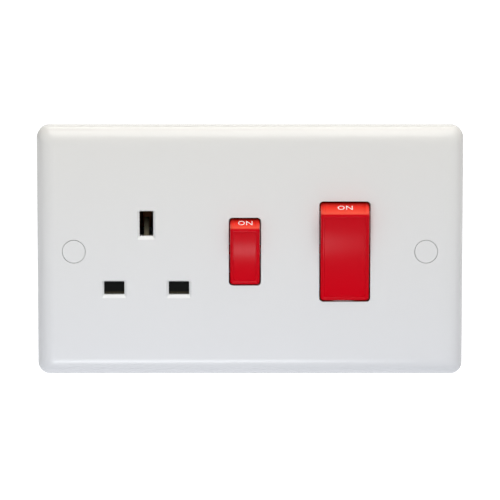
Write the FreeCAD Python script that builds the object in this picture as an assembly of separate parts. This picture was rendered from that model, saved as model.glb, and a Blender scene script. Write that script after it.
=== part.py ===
import FreeCAD, Part
import math
import os

os.makedirs("parts", exist_ok=True)

Vector = FreeCAD.Vector

# Axes: x to the right, y into the wall, z up. The wall plane is y = 0, on the line of the fixing screws.

# Front plate
PLATE_WIDTH = 146.0
PLATE_HEIGHT = 86.0
PLATE_DEPTH = 9.5
PLATE_FACE = 2.6
PLATE_SIDE = 2.5
PLATE_CORNER = 4.2
EDGE_RUN = 6.0
EDGE_DROP = 5.0
EDGE_CORNER_SHARE = 0.45
EDGE_STEPS = 8
POCKET_BEVEL = 1.4
POCKET_CORNER = 2.0
CUT_MARGIN = 1.0

# Fixing screws and their caps
FIXING_SPREAD = 120.6
FIXING_BOSS_R = 5.5
FIXING_BOSS_GAP = 1.0
FIXING_RIB = 1.6
FIXING_RIB_RISE = 3.6
SEAT_DEPTH = 4.4
HEAD_R = 3.3
HEAD_HEIGHT = 2.0
HEAD_CLEARANCE = 0.3
NECK_R = 1.5
NECK_CLEARANCE = 0.6
THREAD_R = 1.75
THREAD_LEAD = 0.2
SCREW_REACH = 15.0
CAP_R = 3.85
CAP_THICK = 1.2
CAP_GAP = 0.18
COLLAR_HEIGHT = 0.7
COLLAR_GAP = 0.1

# Socket outlet
SOCKET_X = -35.45
LINE_Z = -12.6
PIN_SPREAD = 22.2
PIN_RISE = 22.2
LINE_APERTURE_WIDTH = 7.0
LINE_APERTURE_HEIGHT = 4.6
EARTH_APERTURE_WIDTH = 4.7
EARTH_APERTURE_HEIGHT = 8.6
PIN_FLARE = 0.75
PIN_FLARE_DEPTH = 0.7
PIN_FLARE_DROP = 0.4
PIN_CORNER = 0.35

# Rockers
COOKER_X = 32.45
COOKER_APERTURE_WIDTH = 17.5
COOKER_APERTURE_HEIGHT = 34.6
COOKER_PIVOT_DEPTH = 6.9
COOKER_RIDGE_PROUD = 3.2
COOKER_DISH = 1.3
COOKER_SWING = 9.0
COOKER_POLE_SPREAD = 10.8
OUTLET_X = -1.75
OUTLET_APERTURE_WIDTH = 11.0
OUTLET_APERTURE_HEIGHT = 23.4
OUTLET_PIVOT_DEPTH = 5.65
OUTLET_RIDGE_PROUD = 2.4
OUTLET_DISH = 0.8
OUTLET_SWING = 10.0
OUTLET_ARM = 7.0
APERTURE_CORNER = 1.3
APERTURE_LIP = 1.2
ROCKER_SIDE_GAP = 0.4
ROCKER_END_GAP = 0.3
ROCKER_WALL = 1.6
ROCKER_FACE = 2.2
ROCKER_EDGE_R = 1.2
FLANK_SLOPE = 22.5
PANEL_DEPTH = 0.2
PANEL_MARGIN = 1.3
PANEL_CORNER = 0.6
FLAG_DEPTH = 0.25
FLAG_MARGIN = 1.6
FLAG_EDGE = 1.0
SKIRT_DEPTH = 2.4
TRUNNION_R = 1.6
TRUNNION_LENGTH = 2.3
RUNNING_FIT = 0.05
CHEEK_GAP = 0.35
CHEEK_THICK = 2.6
CHEEK_HALF = 3.6
CHEEK_REACH = 1.9

# Plungers and their springs
PLUNGER_R = 2.0
PLUNGER_TIP_R = 0.7
PLUNGER_TAPER = 2.2
PLUNGER_SHOW = 5.8
PLUNGER_HELD = 4.0
PLUNGER_GAP = 0.15
PLUNGER_SLEEVE = 0.85
SPIGOT_R = 0.9
SPIGOT_LENGTH = 1.5
SPRING_ROOM = 6.0
SPRING_R = 1.45
SPRING_WIRE = 0.5
SPRING_TURNS = 4.5
COIL_STEPS = 8
QUARTER_TURN = 90.0

# Moving contacts and contact tips
CONTACT_AXIS_Y = 11.0
CONTACT_SWING = 8.0
BAR_WIDTH = 5.0
BAR_THICK = 1.3
BAR_LIFT = 0.4
BAR_OVERHANG = 2.0
RIB_R = 0.8
RIB_INSET = 0.1
TIP_R = 1.9
TIP_DOME_R = 4.0
MOVING_TIP = 0.85
FIXED_TIP = 0.45
CONTACT_GAP = 0.08
ARM_SETBACK = 7.0

# Strips and links
STRIP_THICK = 1.2
STRIP_WIDTH = 5.0
STRIP_BITE = 0.6
STRIP_MARGIN = 2.5
LINK_GAP = 0.8
LINK_THICK = 1.2
LINK_WIDTH = 3.8
LINK_CROSS_X = -16.8
LINK_CROSS_Z = -2.1
TAB_REACH = 5.0
LIVE_LINK_LIFT = 3.5
RIVET_R = 1.4

# Terminals
TERMINAL_SPREAD = 16.0
BLOCK_WIDTH = 9.0
BLOCK_DEPTH = 11.0
TERMINAL_Z = 16.0
BLOCK_END = 1.0
BLOCK_END_GAP = 0.2
BORE_R = 3.0
EARTH_BLOCK_WIDTH = 15.0
EARTH_BORE_SPREAD = 7.4
EARTH_BORE_R = 2.5
CLAMP_R = 2.2
CLAMP_LENGTH = 6.2
CLAMP_TIP_GAP = 0.2
THREAD_FIT = 0.05

# Pin contacts
CLIP_THICK = 0.8
CLIP_MOUTH = 3.0
CLIP_PINCH = 1.9
CLIP_SPREAD = 2.9
CLIP_PINCH_DEPTH = 4.5
CLIP_TAIL_DEPTH = 9.5
CLIP_GAP = 0.5
LINE_CLIP_WIDTH = 6.0
EARTH_CLIP_GAP = 2.4

# Shutter, carrier and shutter spring
SHUTTER_THICK = 2.3
SHUTTER_GAP = 0.15
SHUTTER_TRAVEL = 6.0
BLADE_COVER = 0.7
BLADE_SIDE_COVER = 0.5
STEM_HALF = 2.6
RAMP_WIDTH = 1.7
RAMP_FOOT = 0.3
RAMP_ROOT = 1.5
RAIL_GAP = 0.3
RAIL_THICK = 1.2
CARRIER_THICK = 1.8
CARRIER_SIDE = 0.3
CARRIER_END_GAP = 0.4
CARRIER_PIN_GAP = 0.25
RAMP_SLOT_GAP = 0.4
SPRING_SEAT = 1.6
SPRING_SEAT_HALF = 3.0
SHUTTER_SPRING_R = 0.85
SHUTTER_SPRING_WIRE = 0.4
SHUTTER_SPRING_TURNS = 6.0

# Rear housing
HOUSING_WIDTH = 106.0
HOUSING_HEIGHT = 60.0
HOUSING_WALL = 1.8
HOUSING_FLOOR = 2.0
HOUSING_CORNER = 3.0
HOUSING_BEVEL = 1.2
FLOOR_Y = 22.0
OUTLET_FLOOR_Y = 17.0
STEP_X = -13.0
ENTRY_MARGIN = 1.0
TOWER_WALL = 1.6
TOWER_GAP = 0.6
TOWER_RISE = 2.5
KEEPER_HALF = 2.9
BARRIER_THICK = 1.2
BARRIER_FRONT = 7.0
BARRIER_HALF = 10.0
POST_HALF = 1.6
CARRIER_POST_HALF = 2.0
CARRIER_POST_SPREAD = 26.0
CARRIER_POST_Z = 7.0
CARRIER_FOOT_SPREAD = 10.0
CARRIER_FOOT_Z = -23.0
LOCATOR_GAP = 0.2
LOCATOR_THICK = 1.2
LOCATOR_RISE = 1.6

# Screws that hold the housing
EAR_SPREAD = 88.0
EAR_R = 3.4
EAR_THICK = 2.8
EAR_LIFT = 2.3
TAP_R = 1.4
TAP_LENGTH = 5.0
TAP_HEAD_R = 2.7
TAP_HEAD = 1.5
TAP_CLEARANCE = 0.25
TAP_BOSS_R = 3.0

# Levels that follow from the sizes above
FRONT_Y = -PLATE_DEPTH
INNER_Y = FRONT_Y + PLATE_FACE
EARTH_Z = LINE_Z + PIN_RISE
HOUSING_END = HOUSING_HEIGHT / 2 - HOUSING_WALL
BLOCK_LENGTH = HOUSING_END - BLOCK_END_GAP - TERMINAL_Z
COOKER_ARM = TERMINAL_Z - ARM_SETBACK
EARTH_CLIP_WIDTH = 2 * (TERMINAL_Z - EARTH_Z - EARTH_CLIP_GAP)
CARRIER_TOP = TERMINAL_Z - CARRIER_END_GAP
CARRIER_BOTTOM = CARRIER_END_GAP - HOUSING_END
NEUTRAL_PIN_X = SOCKET_X - PIN_SPREAD / 2
LIVE_PIN_X = SOCKET_X + PIN_SPREAD / 2
CARRIER_Y = INNER_Y + SHUTTER_THICK + 2 * SHUTTER_GAP
CLIP_FRONT_Y = CARRIER_Y + CARRIER_THICK + CLIP_GAP
BLADE_TOP = LINE_Z + LINE_APERTURE_HEIGHT / 2 + BLADE_COVER
BLADE_BOTTOM = LINE_Z - LINE_APERTURE_HEIGHT / 2 - BLADE_COVER
BLADE_HALF = PIN_SPREAD / 2 + LINE_APERTURE_WIDTH / 2 + BLADE_SIDE_COVER
RAMP_FOOT_Z = EARTH_Z - EARTH_APERTURE_HEIGHT / 2 - RAMP_FOOT
EAR_Y = INNER_Y + EAR_LIFT
EAR_Z = HOUSING_HEIGHT / 2 + EAR_R
EAR_XS = (-EAR_SPREAD / 2, EAR_SPREAD / 2)
FIXING_X = FIXING_SPREAD / 2
FIXING_XS = (-FIXING_X, FIXING_X)


def turned(y, z, degrees):
    """Point (y, z) after a turn about +x."""
    angle = math.radians(degrees)
    return (
        y * math.cos(angle) - z * math.sin(angle),
        y * math.sin(angle) + z * math.cos(angle),
    )


class Switch:
    """One rocker switch: where its parts lie, worked out from its driving dimensions."""

    def __init__(self, x, width, height, pivot_depth, proud, dish, swing, arm, poles):
        self.x = x
        self.width = width
        self.height = height
        self.swing = swing
        self.arm = arm
        self.dish = dish
        self.poles = poles
        self.pivot_depth = pivot_depth
        self.pivot_y = FRONT_Y + pivot_depth
        self.half = width / 2 - ROCKER_SIDE_GAP
        self.skirt_r = math.hypot(height / 2, pivot_depth - APERTURE_LIP) - ROCKER_END_GAP
        slope = math.radians(FLANK_SLOPE)
        self.flank_y = -self.skirt_r * math.sin(slope)
        self.flank_z = self.skirt_r * math.cos(slope)
        self.ridge_y = -(pivot_depth + proud)
        self.ridge_z = self.flank_z - (self.flank_y - self.ridge_y) * math.tan(slope)
        self.cheek_in = self.half + CHEEK_GAP
        self.cheek_out = self.cheek_in + CHEEK_THICK
        self.cheek_rear = self.pivot_y + CHEEK_REACH
        self.reach = CONTACT_AXIS_Y - BAR_LIFT - BAR_THICK - self.pivot_y - PLUNGER_GAP
        self.boss_end = self.reach - PLUNGER_SHOW
        self.plunger_end = self.boss_end - PLUNGER_HELD
        self.blind_end = self.plunger_end - SPRING_ROOM

    def tip_point(self):
        """Depth and height of the closed moving tip."""
        y, z = turned(MOVING_TIP - BAR_LIFT, self.arm, -CONTACT_SWING)
        return CONTACT_AXIS_Y + y, z

    def placed(self, shape):
        """A shape modelled about the pivot, in its switched-on place."""
        shape.rotate(Vector(0, 0, 0), Vector(1, 0, 0), self.swing)
        shape.translate(Vector(self.x, self.pivot_y, 0))
        return shape


COOKER = Switch(
    COOKER_X,
    COOKER_APERTURE_WIDTH,
    COOKER_APERTURE_HEIGHT,
    COOKER_PIVOT_DEPTH,
    COOKER_RIDGE_PROUD,
    COOKER_DISH,
    COOKER_SWING,
    COOKER_ARM,
    (-COOKER_POLE_SPREAD / 2, COOKER_POLE_SPREAD / 2),
)
OUTLET = Switch(
    OUTLET_X,
    OUTLET_APERTURE_WIDTH,
    OUTLET_APERTURE_HEIGHT,
    OUTLET_PIVOT_DEPTH,
    OUTLET_RIDGE_PROUD,
    OUTLET_DISH,
    OUTLET_SWING,
    OUTLET_ARM,
    (0.0,),
)
LIVE_POLE, NEUTRAL_POLE = (COOKER_X + pole for pole in COOKER.poles)
LIVE_BLOCK_X = COOKER_X - TERMINAL_SPREAD / 2
NEUTRAL_BLOCK_X = COOKER_X + TERMINAL_SPREAD / 2
STRIP_Y = COOKER.tip_point()[0] + CONTACT_GAP + FIXED_TIP
STRIP_BACK = STRIP_Y + STRIP_THICK
LINK_Y = STRIP_BACK + LINK_GAP
LINK_BACK = LINK_Y + LINK_THICK
LINK_TOP = TERMINAL_Z - STRIP_THICK
LIVE_LINK_Z = TERMINAL_Z + LIVE_LINK_LIFT


def box(x, y, z):
    """Block between the two values of each axis."""
    size = [high - low for low, high in (x, y, z)]
    return Part.makeBox(*size, Vector(x[0], y[0], z[0]))


def about(centre, half):
    """Pair of values to both sides of a centre."""
    return centre - half, centre + half


def rod(radius, start, end):
    """Cylinder from one point to another."""
    return Part.makeCylinder(radius, (end - start).Length, start, end - start)


def rod_y(radius, x, z, y):
    """Cylinder along y between two depths."""
    return rod(radius, Vector(x, y[0], z), Vector(x, y[1], z))


def joined(shapes):
    """One solid from shapes that meet."""
    return shapes[0].multiFuse(shapes[1:]).removeSplitter()


def rounded(width, height, corner, y, x=0.0, z=0.0):
    """Rounded rectangle standing at depth y."""
    run = width / 2 - corner
    rise = height / 2 - corner
    centres = ((run, rise), (-run, rise), (-run, -rise), (run, -rise))
    arcs = []
    for turn, (side, up) in enumerate(centres):
        points = []
        for part in (0.0, 0.5, 1.0):
            angle = (turn + part) * math.pi / 2
            points.append(Vector(x + side + corner * math.cos(angle), y, z + up + corner * math.sin(angle)))
        arcs.append(points)
    edges = []
    for here, after in zip(arcs, arcs[1:] + arcs[:1]):
        edges.append(Part.Arc(*here).toShape())
        edges.append(Part.LineSegment(here[-1], after[0]).toShape())
    return Part.Wire(edges)


def prism(wire, depth):
    """Outline pushed along y."""
    return Part.Face(wire).extrude(Vector(0, depth, 0))


def funnel(front, back):
    """Straight-sided solid between two outlines."""
    return Part.makeLoft([front, back], True, True)


def outline(points, across):
    """Flat outline in y and z pushed evenly to both sides along x."""
    vectors = [Vector(-across / 2, y, z) for y, z in points]
    face = Part.Face(Part.makePolygon(vectors + vectors[:1]))
    return face.extrude(Vector(across, 0, 0))


def coil(radius, wire, length, turns):
    """Spring standing on z = 0, with its wire ends inside its length."""
    steps = round(turns * COIL_STEPS)
    sections = []
    for step in range(steps + 1):
        angle = 2 * math.pi * step / COIL_STEPS
        level = wire + (length - 2 * wire) * step / steps
        corners = []
        for out, up in ((-1, -1), (1, -1), (1, 1), (-1, 1)):
            reach = radius + out * wire / 2
            corners.append(Vector(reach * math.cos(angle), reach * math.sin(angle), level + up * wire / 2))
        sections.append(Part.makePolygon(corners + corners[:1]))
    return Part.makeLoft(sections, True, True)


def plate_shell():
    """Soft-edged plate, hollow behind."""
    wires = []
    for step in range(EDGE_STEPS + 1):
        angle = math.pi / 2 * step / EDGE_STEPS
        share = 1 - math.cos(angle)
        inset = 2 * EDGE_RUN * share
        corner = PLATE_CORNER * (1 - (1 - EDGE_CORNER_SHARE) * share)
        y = FRONT_Y + EDGE_DROP * (1 - math.sin(angle))
        wires.append(rounded(PLATE_WIDTH - inset, PLATE_HEIGHT - inset, corner, y))
    crown = Part.makeLoft(wires, True)
    rim = prism(wires[0], PLATE_DEPTH - EDGE_DROP)
    width = PLATE_WIDTH - 2 * PLATE_SIDE
    height = PLATE_HEIGHT - 2 * PLATE_SIDE
    brow_y = INNER_Y + POCKET_BEVEL
    brow = rounded(width, height, POCKET_CORNER, brow_y)
    floor = rounded(
        width - 2 * POCKET_BEVEL,
        height - 2 * POCKET_BEVEL,
        POCKET_CORNER,
        INNER_Y,
    )
    hollow = joined([prism(brow, CUT_MARGIN - brow_y), funnel(brow, floor)])
    return joined([rim, crown]).cut(hollow)


def fixing_boss(x):
    """Pillar for a fixing screw, tied to the side wall by a rib."""
    pillar = rod_y(FIXING_BOSS_R, x, 0, (INNER_Y, -FIXING_BOSS_GAP))
    edge = math.copysign(PLATE_WIDTH / 2 - PLATE_SIDE, x)
    rib = box(sorted((x, edge)), (INNER_Y, INNER_Y + FIXING_RIB_RISE), about(0, FIXING_RIB / 2))
    return [pillar, rib]


def fixing_hole(x):
    """Stepped hole for a cap, a screw head and a screw neck."""
    seat_y = FRONT_Y + SEAT_DEPTH
    steps = (
        (CAP_R + CAP_GAP, FRONT_Y + CAP_THICK),
        (HEAD_R + HEAD_CLEARANCE, seat_y),
        (NECK_R + NECK_CLEARANCE, 0.0),
    )
    return joined([rod_y(radius, x, 0, (FRONT_Y - CUT_MARGIN, end)) for radius, end in steps])


def pin_aperture(x, z, width, height):
    """Straight hole for one pin of a plug, with a flare at the front that is widest below."""
    wires = []
    for y in (FRONT_Y - CUT_MARGIN, FRONT_Y + PIN_FLARE_DEPTH):
        share = 1 - (y - FRONT_Y) / PIN_FLARE_DEPTH
        flare = 2 * PIN_FLARE * share
        middle = z - PIN_FLARE_DROP * share
        wires.append(rounded(width + flare, height + flare, PIN_CORNER, y, x, middle))
    hole = rounded(width, height, PIN_CORNER, FRONT_Y, x, z)
    return [funnel(*wires), prism(hole, PLATE_FACE + CUT_MARGIN)]


def rocker_aperture(switch):
    """Hole for a rocker, wider behind its lip to let the rocker's ends swing."""
    lip = rounded(switch.width, switch.height, APERTURE_CORNER, FRONT_Y - CUT_MARGIN, switch.x)
    relief = box(
        about(switch.x, switch.width / 2),
        (FRONT_Y + APERTURE_LIP, INNER_Y + CUT_MARGIN),
        about(0, switch.skirt_r + ROCKER_END_GAP),
    )
    return [prism(lip, APERTURE_LIP + 2 * CUT_MARGIN), relief]


def bearing(switch, side):
    """Cheek behind the plate with a slot for one trunnion."""
    ends = sorted((switch.x + side * switch.cheek_in, switch.x + side * switch.cheek_out))
    radius = TRUNNION_R + RUNNING_FIT
    cheek = box(ends, (INNER_Y, switch.cheek_rear), about(0, CHEEK_HALF))
    slot = box(ends, (switch.pivot_y, switch.cheek_rear), about(0, radius))
    seat = rod(radius, Vector(ends[0], switch.pivot_y, 0), Vector(ends[1], switch.pivot_y, 0))
    return cheek.cut(joined([slot, seat]))


def front_plate():
    """The white plate with its bosses, bearings and holes."""
    solids = [plate_shell()]
    holes = []
    for x in FIXING_XS:
        solids += fixing_boss(x)
        holes.append(fixing_hole(x))
    for switch in (COOKER, OUTLET):
        solids += [bearing(switch, side) for side in (-1, 1)]
        holes += rocker_aperture(switch)
    for x in (NEUTRAL_PIN_X, LIVE_PIN_X):
        holes += pin_aperture(x, LINE_Z, LINE_APERTURE_WIDTH, LINE_APERTURE_HEIGHT)
    holes += pin_aperture(SOCKET_X, EARTH_Z, EARTH_APERTURE_WIDTH, EARTH_APERTURE_HEIGHT)
    tap_end = EAR_Y + EAR_THICK - TAP_LENGTH
    for x in EAR_XS:
        for z in (-EAR_Z, EAR_Z):
            solids.append(rod_y(TAP_BOSS_R, x, z, (INNER_Y, EAR_Y)))
            holes.append(rod_y(TAP_R + THREAD_FIT, x, z, (tap_end - THREAD_FIT, EAR_Y + CUT_MARGIN)))
    return joined(solids).cut(holes).removeSplitter()


def screw_cap(x):
    """Flat cap with a collar that plugs the screw hole."""
    seat_y = FRONT_Y + CAP_THICK
    collar_r = HEAD_R + HEAD_CLEARANCE - COLLAR_GAP
    disc = rod_y(CAP_R, x, 0, (FRONT_Y, seat_y))
    collar = rod_y(collar_r, x, 0, (seat_y, seat_y + COLLAR_HEIGHT))
    return joined([disc, collar])


def fixing_screw(x):
    """Screw with a plain neck in the plate and its thread behind it."""
    seat_y = FRONT_Y + SEAT_DEPTH
    thread_y = -FIXING_BOSS_GAP + THREAD_LEAD
    head = rod_y(HEAD_R, x, 0, (seat_y - HEAD_HEIGHT, seat_y))
    neck = rod_y(NECK_R, x, 0, (seat_y, thread_y))
    thread = rod_y(THREAD_R, x, 0, (thread_y, SCREW_REACH))
    return joined([head, neck, thread])


def housing_screw(x, z):
    """Short screw through a housing ear into the plate."""
    seat_y = EAR_Y + EAR_THICK
    head = rod_y(TAP_HEAD_R, x, z, (seat_y, seat_y + TAP_HEAD))
    shank = rod_y(TAP_R, x, z, (seat_y - TAP_LENGTH, seat_y))
    return joined([head, shank])


def rocker_body(switch):
    """Rocker outline in y and z about its pivot, pushed to its width and softened at its front edges."""
    skirt_z = math.sqrt(switch.skirt_r**2 - SKIRT_DEPTH**2)
    left = -switch.half

    def at(y, z):
        return Vector(left, y, z)

    edges = [Part.LineSegment(at(SKIRT_DEPTH, -skirt_z), at(SKIRT_DEPTH, skirt_z))]
    for side in (1, -1):
        skirt = Part.Arc(
            at(SKIRT_DEPTH, side * skirt_z),
            at(0, side * switch.skirt_r),
            at(switch.flank_y, side * switch.flank_z),
        )
        flank = Part.LineSegment(
            at(switch.flank_y, side * switch.flank_z),
            at(switch.ridge_y, side * switch.ridge_z),
        )
        edges += [skirt, flank]
    face = Part.Arc(
        at(switch.ridge_y, switch.ridge_z),
        at(switch.ridge_y + switch.dish, 0),
        at(switch.ridge_y, -switch.ridge_z),
    )
    edges.append(face)
    wire = Part.Wire(Part.__sortEdges__([edge.toShape() for edge in edges]))
    body = Part.Face(wire).extrude(Vector(2 * switch.half, 0, 0))
    soft = []
    for edge in body.Edges:
        middle = edge.CenterOfMass
        beside = abs(middle.x) > switch.half / 2 and middle.y < 0
        if beside or middle.y < switch.flank_y - ROCKER_EDGE_R:
            soft.append(edge)
    return body.makeFillet(ROCKER_EDGE_R, soft)


def face_panel(switch):
    """Block that sinks a shallow panel in the dished face."""
    level = switch.ridge_y + PANEL_DEPTH
    front = switch.ridge_y - CUT_MARGIN

    def at(y, z):
        return Vector(-switch.half, y, z)

    edge = switch.ridge_z
    corners = [at(level, -edge), at(front, -edge), at(front, edge), at(level, edge)]
    sunk = Part.Arc(corners[-1], at(level + switch.dish, 0), corners[0]).toShape()
    wire = Part.Wire(Part.makePolygon(corners).Edges + [sunk])
    block = Part.Face(wire).extrude(Vector(2 * switch.half, 0, 0))
    width = 2 * (switch.half - PANEL_MARGIN)
    frame = rounded(width, 2 * (edge - PANEL_MARGIN), PANEL_CORNER, front)
    return block.common(prism(frame, -front))


def flag_panel(switch, side):
    """Block that sinks a shallow panel in a flank, from near the ridge down into the skirt."""
    half = switch.half - FLAG_MARGIN
    along = Vector(0, switch.flank_y - switch.ridge_y, side * (switch.flank_z - switch.ridge_z)).normalize()
    out = Vector(0, -side * along.z, side * along.y)
    foot = Vector(-half, switch.ridge_y, side * switch.ridge_z) + along * FLAG_EDGE - out * FLAG_DEPTH
    run = along * switch.skirt_r
    rise = out * CUT_MARGIN
    wire = Part.makePolygon([foot, foot + run, foot + run + rise, foot + rise, foot])
    return Part.Face(wire).extrude(Vector(2 * half, 0, 0))


def rocker(switch):
    """Hollow rocker with sunk panels, trunnions and a sleeve for each plunger."""
    ceiling = switch.ridge_y + switch.dish + ROCKER_FACE
    inner = switch.half - ROCKER_WALL
    hollow = rod(switch.skirt_r - ROCKER_WALL, Vector(-inner, 0, 0), Vector(inner, 0, 0))
    hollow = hollow.common(box(about(0, inner), (ceiling, switch.skirt_r), about(0, switch.skirt_r)))
    panels = [face_panel(switch), flag_panel(switch, 1), flag_panel(switch, -1)]
    solids = [rocker_body(switch).cut([hollow] + panels)]
    for side in (-1, 1):
        start = Vector(side * inner, 0, 0)
        solids.append(rod(TRUNNION_R, start, Vector(side * (switch.half + TRUNNION_LENGTH), 0, 0)))
    bore_r = PLUNGER_R + RUNNING_FIT
    bores = []
    for pole in switch.poles:
        solids.append(rod_y(bore_r + PLUNGER_SLEEVE, pole, 0, (ceiling - ROCKER_FACE / 2, switch.boss_end)))
        bores.append(rod_y(bore_r, pole, 0, (switch.blind_end, switch.boss_end)))
    return switch.placed(joined(solids).cut(bores))


def plunger(switch, pole):
    """Blunt-nosed pin that slides in a rocker sleeve."""
    neck_y = switch.reach - PLUNGER_TAPER
    spigot = rod_y(SPIGOT_R, pole, 0, (switch.plunger_end - SPIGOT_LENGTH, switch.plunger_end))
    body = rod_y(PLUNGER_R, pole, 0, (switch.plunger_end, neck_y))
    nose = Part.makeCone(
        PLUNGER_R,
        PLUNGER_TIP_R,
        PLUNGER_TAPER,
        Vector(pole, neck_y, 0),
        Vector(0, 1, 0),
    )
    return switch.placed(joined([spigot, body, nose]))


def plunger_spring(switch, pole):
    """Spring between a sleeve's blind end and its plunger."""
    spring = coil(SPRING_R, SPRING_WIRE, SPRING_ROOM, SPRING_TURNS)
    spring.rotate(Vector(0, 0, 0), Vector(1, 0, 0), -QUARTER_TURN)
    spring.translate(Vector(pole, switch.blind_end, 0))
    return switch.placed(spring)


def closed_bar(shape, pole_x):
    """A shape modelled about the contact axis, in its closed place."""
    shape.rotate(Vector(0, 0, 0), Vector(1, 0, 0), -CONTACT_SWING)
    shape.translate(Vector(pole_x, CONTACT_AXIS_Y, 0))
    return shape


def moving_contact(switch, pole_x):
    """Rocking contact bar with a groove that rides on the fulcrum."""
    half = switch.arm + BAR_OVERHANG
    bar = box(about(0, BAR_WIDTH / 2), (-BAR_LIFT - BAR_THICK, -BAR_LIFT), about(0, half))
    groove = rod(RIB_R + RUNNING_FIT, Vector(-BAR_WIDTH, 0, 0), Vector(BAR_WIDTH, 0, 0))
    return closed_bar(bar.cut(groove), pole_x)


def moving_tip(switch, pole_x):
    """Domed button on the back of a moving contact."""
    dome = Part.makeSphere(TIP_DOME_R, Vector(0, MOVING_TIP - TIP_DOME_R, 0))
    button = rod_y(TIP_R, 0, 0, (0, MOVING_TIP)).common(dome)
    button.translate(Vector(0, -BAR_LIFT, switch.arm))
    return closed_bar(button, pole_x)


def fixed_tip(switch, pole_x):
    """Flat button on a fixed strip, facing the closed moving tip."""
    y, z = switch.tip_point()
    return rod_y(TIP_R, pole_x, z, (y + CONTACT_GAP, STRIP_Y))


def strip(x, z):
    """Flat strip in the plane of the fixed contacts."""
    return box(sorted(x), (STRIP_Y, STRIP_BACK), sorted(z))


def fulcrum(pole_x):
    """Round-nosed rib that a moving contact rocks on."""
    half = BAR_WIDTH / 2 - RIB_INSET
    web = box(about(pole_x, half), (CONTACT_AXIS_Y, STRIP_BACK), about(0, RIB_R))
    nose = rod(
        RIB_R,
        Vector(pole_x - half, CONTACT_AXIS_Y, 0),
        Vector(pole_x + half, CONTACT_AXIS_Y, 0),
    )
    return [web, nose]


def clamp_block(x, floor_y, side, width, bore_xs, bore_r):
    """Terminal block with cable bores that open away from the middle and screw holes from behind."""
    inner_z = side * TERMINAL_Z
    outer_z = inner_z + side * BLOCK_LENGTH
    axis_y = floor_y - BLOCK_DEPTH / 2
    block = box(about(x, width / 2), (floor_y - BLOCK_DEPTH, floor_y), sorted((inner_z, outer_z)))
    holes = []
    for bore_x in bore_xs:
        start = Vector(bore_x, axis_y, inner_z + side * BLOCK_END)
        holes.append(rod(bore_r, start, Vector(bore_x, axis_y, outer_z)))
        holes.append(rod_y(CLAMP_R + THREAD_FIT, bore_x, clamp_z(side), (axis_y, floor_y)))
    return block.cut(holes)


def clamp_z(side):
    """Height of a clamp screw above or below the middle."""
    return side * (TERMINAL_Z + (BLOCK_LENGTH + BLOCK_END) / 2)


def clamp_screw(x, floor_y, side, bore_r):
    """Headless clamp screw, backed out clear of its bore."""
    start = floor_y - BLOCK_DEPTH / 2 + bore_r + CLAMP_TIP_GAP
    return rod_y(CLAMP_R, x, clamp_z(side), (start, start + CLAMP_LENGTH))


def supply_terminal(block_x, pole_x):
    """Upper terminal with the strip that carries a fixed contact."""
    block = clamp_block(block_x, FLOOR_Y, 1, BLOCK_WIDTH, (block_x,), BORE_R)
    tail = strip(about(pole_x, STRIP_WIDTH / 2), (COOKER.arm - STRIP_MARGIN, TERMINAL_Z + STRIP_BITE))
    return joined([block, tail])


def load_terminal(block_x, pole_x):
    """Lower terminal with the strip and fulcrum of a moving contact."""
    block = clamp_block(block_x, FLOOR_Y, -1, BLOCK_WIDTH, (block_x,), BORE_R)
    tail = strip(about(pole_x, STRIP_WIDTH / 2), (-TERMINAL_Z - STRIP_BITE, STRIP_MARGIN))
    return joined([block, tail] + fulcrum(pole_x))


def live_link():
    """Bent strip from the supply live terminal to the fixed contact of the socket switch."""
    block_side = LIVE_BLOCK_X - BLOCK_WIDTH / 2
    half = STRIP_WIDTH / 2
    rail = strip((OUTLET_X - half, block_side), about(LIVE_LINK_Z, half))
    arm = strip(about(OUTLET_X, half), (OUTLET_ARM - STRIP_MARGIN, LIVE_LINK_Z))
    tab = box(
        (block_side - STRIP_THICK, block_side),
        (STRIP_Y, STRIP_Y + TAB_REACH),
        about(LIVE_LINK_Z, half),
    )
    return joined([rail, arm, tab])


def ribbon(points, thick):
    """Outline of a bent strip of even thickness along the points."""
    sides = ([], [])
    for index, point in enumerate(points):
        before = points[max(index - 1, 0)]
        after = points[min(index + 1, len(points) - 1)]
        angles = []
        for start, end in ((before, point), (point, after)):
            if start != end:
                angles.append(math.atan2(end[1] - start[1], end[0] - start[0]))
        bend = math.remainder(angles[-1] - angles[0], 2 * math.pi) / 2
        normal = angles[0] + bend + math.pi / 2
        reach = thick / 2 / math.cos(bend)
        for side, sign in zip(sides, (1, -1)):
            side.append((
                point[0] + sign * reach * math.cos(normal),
                point[1] + sign * reach * math.sin(normal),
            ))
    return sides[0] + sides[1][::-1]


def pin_clip(width):
    """Two sprung leaves joined behind, gripping a pin from above and below."""
    leaf = [
        (CLIP_FRONT_Y, CLIP_MOUTH),
        (CLIP_FRONT_Y + CLIP_PINCH_DEPTH, CLIP_PINCH),
        (CLIP_FRONT_Y + CLIP_TAIL_DEPTH, CLIP_SPREAD),
        (LINK_Y - CLIP_THICK / 2, CLIP_SPREAD),
    ]
    mirrored = [(y, -z) for y, z in reversed(leaf)]
    return outline(ribbon(leaf + mirrored, CLIP_THICK), width)


def line_clip(x):
    """Clip for the live or the neutral pin."""
    clip = pin_clip(LINE_CLIP_WIDTH)
    clip.translate(Vector(x, 0, LINE_Z))
    return clip


def live_contact():
    """Live clip with the strip and fulcrum of the socket switch."""
    half = STRIP_WIDTH / 2
    inner = CLIP_SPREAD - CLIP_THICK
    rail = strip((LIVE_PIN_X - RIVET_R, OUTLET_X + half), about(LINE_Z, inner))
    arm = strip(about(OUTLET_X, half), (LINE_Z - inner, STRIP_MARGIN))
    rivet = rod_y(RIVET_R, LIVE_PIN_X, LINE_Z, (STRIP_Y, LINK_Y))
    return joined([line_clip(LIVE_PIN_X), rail, arm, rivet] + fulcrum(OUTLET_X))


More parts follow.
